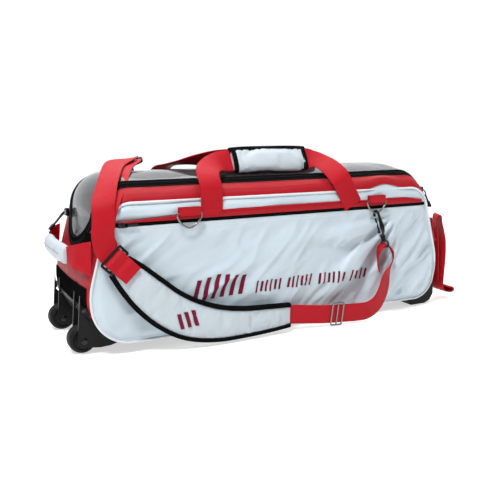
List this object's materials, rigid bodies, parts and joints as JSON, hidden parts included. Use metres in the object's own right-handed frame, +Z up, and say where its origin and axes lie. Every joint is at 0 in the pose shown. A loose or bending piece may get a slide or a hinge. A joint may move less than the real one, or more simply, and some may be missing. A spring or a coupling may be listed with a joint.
{
  "type": "rolling bowling bag",
  "caption": "Long soft tote on two end wheels, with a hinged clear lid, carry handles, a padded shoulder strap, a grab handle and a tow strap, open inside for a row of bowling balls.",
  "frame": {"origin": "middle of the object's footprint, on the floor that the wheels and the end skid stand on", "axes": "+X along the bag from the wheels to the tow strap, +Y from the front (strap side) to the rear, +Z up"},
  "size_m": [0.8554, 0.3326, 0.343],
  "materials": {
    "white_fabric": "coated nylon, faint satin sheen",
    "white_padding": "padded nylon, satin",
    "white_piping": "smooth vinyl-covered cord",
    "red_fabric": "woven nylon, matt",
    "red_webbing": "ribbed woven webbing",
    "black_fabric": "woven binding tape, matt",
    "zip_tape": "coil zip on woven tape",
    "clear_vinyl": "flexible clear vinyl, glossy",
    "moulded_black": "moulded, fine texture",
    "wheel_tread": "moulded tread",
    "base_board": "ribbed board",
    "foam": "closed-cell foam",
    "bright_steel": "plated steel",
    "dark_metal": "gunmetal plate"
  },
  "bodies": {
    "bag": {"ball_cup_left": "foam", "ball_cup_middle": "foam", "ball_cup_right": "foam", "base_board": "base_board", "bottom_panel": "black_fabric", "end_loop_strap": "red_webbing", "end_skid": "moulded_black", "front_hook_body": "dark_metal", "front_panel": "white_fabric", "front_piping": "white_piping", "front_top_band": "red_fabric", "grab_grip": "white_padding", "grab_strap": "red_webbing", "handle_anchor_front_left": "red_webbing", "handle_anchor_front_right": "red_webbing", "handle_anchor_rear_left": "red_webbing", "handle_anchor_rear_right": "red_webbing", "left_end_panel": "red_fabric", "main_zip_slider_left": "dark_metal", "main_zip_slider_right": "dark_metal", "main_zip_tape": "zip_tape", "pocket_panel": "white_fabric", "pocket_zip_band": "red_fabric", "pocket_zip_tape": "zip_tape", "rear_hook_body": "dark_metal", "rear_panel": "white_fabric", "rear_piping": "white_piping", "rear_top_band": "red_fabric", "right_end_panel": "red_fabric", "ring_tab_front_left": "red_webbing", "ring_tab_front_right": "red_webbing", "ring_tab_rear_left": "red_webbing", "ring_tab_rear_right": "red_webbing", "shoulder_pad": "white_padding", "strap_adjuster": "bright_steel", "strap_front_web": "red_webbing", "strap_lower_web": "red_webbing", "strap_slider": "moulded_black", "strap_upper_web": "red_webbing", "wheel_axle_front": "bright_steel", "wheel_axle_rear": "bright_steel", "wheel_housing": "moulded_black"},
    "lid": {"clear_lid": "clear_vinyl", "lid_binding": "black_fabric"},
    "front_handle": {"front_handle_web": "red_webbing", "handle_wrap": "white_padding"},
    "rear_handle": {"rear_handle_web": "red_webbing"},
    "front_wheel": {"wheel_front": "wheel_tread"},
    "rear_wheel": {"wheel_rear": "wheel_tread"},
    "ring_front_left": {"d_ring_front_left": "dark_metal"},
    "ring_front_right": {"d_ring_front_right": "dark_metal"},
    "ring_rear_left": {"d_ring_rear_left": "dark_metal"},
    "ring_rear_right": {"d_ring_rear_right": "dark_metal"},
    "front_gate": {"front_hook_gate": "dark_metal"},
    "rear_gate": {"rear_hook_gate": "dark_metal"},
    "left_zip_pull": {"main_zip_pull_left": "dark_metal"},
    "right_zip_pull": {"main_zip_pull_right": "dark_metal"},
    "pocket_slider": {"pocket_zip_slider": "dark_metal"},
    "pocket_pull": {"pocket_zip_pull": "dark_metal"},
    "tow": {"tow_strap": "red_webbing"}
  },
  "joints": [
    {"name": "lid_hinge", "type": "hinge", "parent": "bag", "child": "lid", "pos_m": [-0.01836, 0.12078, 0.2845], "axis": [-1, 0, 0], "range_deg": [0, 55], "deforming": ["strap_upper_web"]},
    {"name": "front_handle_fold", "type": "hinge", "parent": "bag", "child": "front_handle", "pos_m": [-0.01836, -0.11722, 0.2635], "axis": [1, 0, 0], "range_deg": [0, 168]},
    {"name": "rear_handle_fold", "type": "hinge", "parent": "bag", "child": "rear_handle", "pos_m": [-0.01836, 0.15178, 0.2635], "axis": [-1, 0, 0], "range_deg": [0, 168]},
    {"name": "wheel_front_spin", "type": "hinge", "parent": "bag", "child": "front_wheel", "pos_m": [-0.39736, -0.05972, 0.0245], "axis": [0, 1, 0], "continuous": true},
    {"name": "wheel_rear_spin", "type": "hinge", "parent": "bag", "child": "rear_wheel", "pos_m": [-0.39736, 0.09428, 0.0245], "axis": [0, 1, 0], "continuous": true},
    {"name": "ring_front_left_swing", "type": "hinge", "parent": "bag", "child": "ring_front_left", "pos_m": [-0.21836, -0.12172, 0.2365], "axis": [-1, 0, 0], "range_deg": [0, 130]},
    {"name": "ring_front_right_swing", "type": "hinge", "parent": "bag", "child": "ring_front_right", "pos_m": [0.18164, -0.12172, 0.2365], "axis": [-1, 0, 0], "range_deg": [-2, 1.5]},
    {"name": "ring_rear_left_swing", "type": "hinge", "parent": "bag", "child": "ring_rear_left", "pos_m": [-0.21836, 0.15628, 0.2285], "axis": [1, 0, 0], "range_deg": [-2, 0.4]},
    {"name": "ring_rear_right_swing", "type": "hinge", "parent": "bag", "child": "ring_rear_right", "pos_m": [0.18164, 0.15628, 0.2365], "axis": [1, 0, 0], "range_deg": [0, 130]},
    {"name": "front_hook_gate_press", "type": "hinge", "parent": "bag", "child": "front_gate", "pos_m": [0.18694, -0.12585, 0.17667], "axis": [0.9874, 0, 0.158], "range_deg": [0, 14], "stiffness_Nm_per_rad": 0.02, "springref_deg": -8.59},
    {"name": "rear_hook_gate_press", "type": "hinge", "parent": "bag", "child": "rear_gate", "pos_m": [-0.22925, 0.13823, 0.28118], "axis": [0.9374, 0, 0.3482], "range_deg": [0, 14], "stiffness_Nm_per_rad": 0.02, "springref_deg": -8.59},
    {"name": "left_zip_pull_lift", "type": "hinge", "parent": "bag", "child": "left_zip_pull", "pos_m": [-0.3821, 0.09528, 0.22405], "axis": [0, 1, 0], "range_deg": [0, 110]},
    {"name": "right_zip_pull_lift", "type": "hinge", "parent": "bag", "child": "right_zip_pull", "pos_m": [0.34212, -0.07492, 0.24686], "axis": [0, -1, 0], "range_deg": [0, 110]},
    {"name": "pocket_zip_run", "type": "slide", "parent": "bag", "child": "pocket_slider", "axis": [1, 0, 0], "range_m": [0, 0.62]},
    {"name": "pocket_pull_flip", "type": "hinge", "parent": "pocket_slider", "child": "pocket_pull", "pos_m": [-0.33436, -0.11722, 0.2235], "axis": [0, 0, -1], "range_deg": [0, 160]},
    {"name": "tow_strap_swing", "type": "hinge", "parent": "bag", "child": "tow", "pos_m": [0.3831, -0.07992, 0.1895], "axis": [-0.4671, -0.8842, 0], "range_deg": [0, 100]}
  ],
  "couplings": [
    {"joint": "front_handle_fold", "follows": "lid_hinge", "ratio": 3},
    {"joint": "rear_handle_fold", "follows": "lid_hinge", "ratio": 3}
  ]
}
